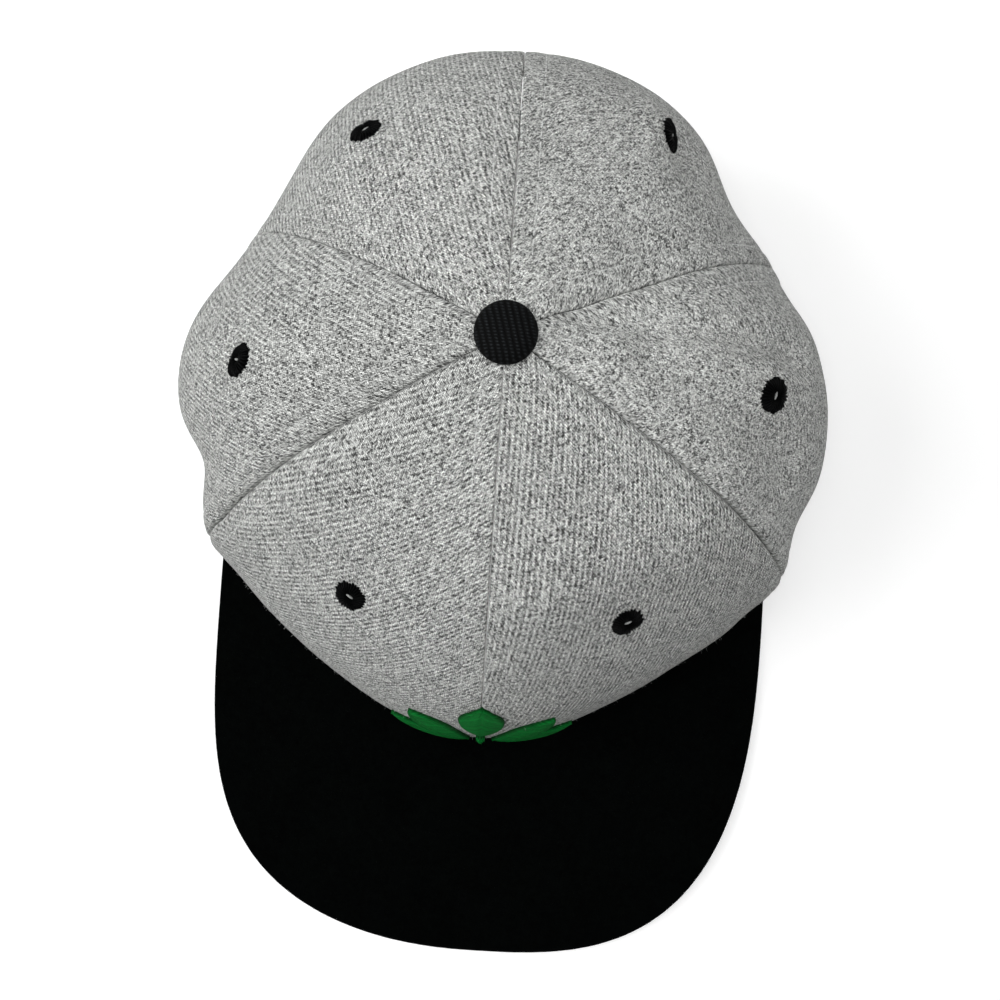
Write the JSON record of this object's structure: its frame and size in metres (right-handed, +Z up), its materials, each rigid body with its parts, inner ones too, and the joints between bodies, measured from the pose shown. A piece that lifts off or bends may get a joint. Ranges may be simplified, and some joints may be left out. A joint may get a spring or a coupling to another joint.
{
  "type": "snapback cap",
  "caption": "Flat-brimmed cap with a six-panel crown, covered button, stitched eyelets, sweatband, rear opening with a closing strap and a raised leaf sprig in front.",
  "frame": {"origin": "under the middle of the whole cap, on the surface that it stands on", "axes": "-Y to the front, where the brim points, +X to the right of someone who faces the cap's front and looks along +Y, +Z up to the button"},
  "size_m": [0.1808, 0.2624, 0.1132],
  "materials": {
    "crown_cloth": "heather grey wool-blend twill, matt, light and dark flecks",
    "brim_cloth": "black brushed wool-blend cloth, very matt",
    "button_cloth": "black ribbed cloth, matt",
    "eyelet_thread": "black embroidery thread, slight sheen",
    "band_cloth": "black cotton twill, matt",
    "strap_plastic": "moulded black plastic, satin",
    "motif_thread": "green embroidery thread, satin stitch"
  },
  "bodies": {
    "root": {"brim_top": "brim_cloth", "brim_underside": "brim_cloth", "eyelet_front_left": "eyelet_thread", "eyelet_front_right": "eyelet_thread", "eyelet_rear_left": "eyelet_thread", "eyelet_rear_right": "eyelet_thread", "eyelet_side_left": "eyelet_thread", "eyelet_side_right": "eyelet_thread", "motif_leaf_lower_left": "motif_thread", "motif_leaf_lower_right": "motif_thread", "motif_leaf_middle_left": "motif_thread", "motif_leaf_middle_right": "motif_thread", "motif_leaf_top": "motif_thread", "motif_leaf_upper_left": "motif_thread", "motif_leaf_upper_right": "motif_thread", "motif_stem": "motif_thread", "panel_front_left": "crown_cloth", "panel_front_right": "crown_cloth", "panel_rear_left": "crown_cloth", "panel_rear_right": "crown_cloth", "panel_side_left": "crown_cloth", "panel_side_right": "crown_cloth", "snap_strap": "strap_plastic", "sweatband": "band_cloth", "top_button": "button_cloth"}
  },
  "joints": []
}
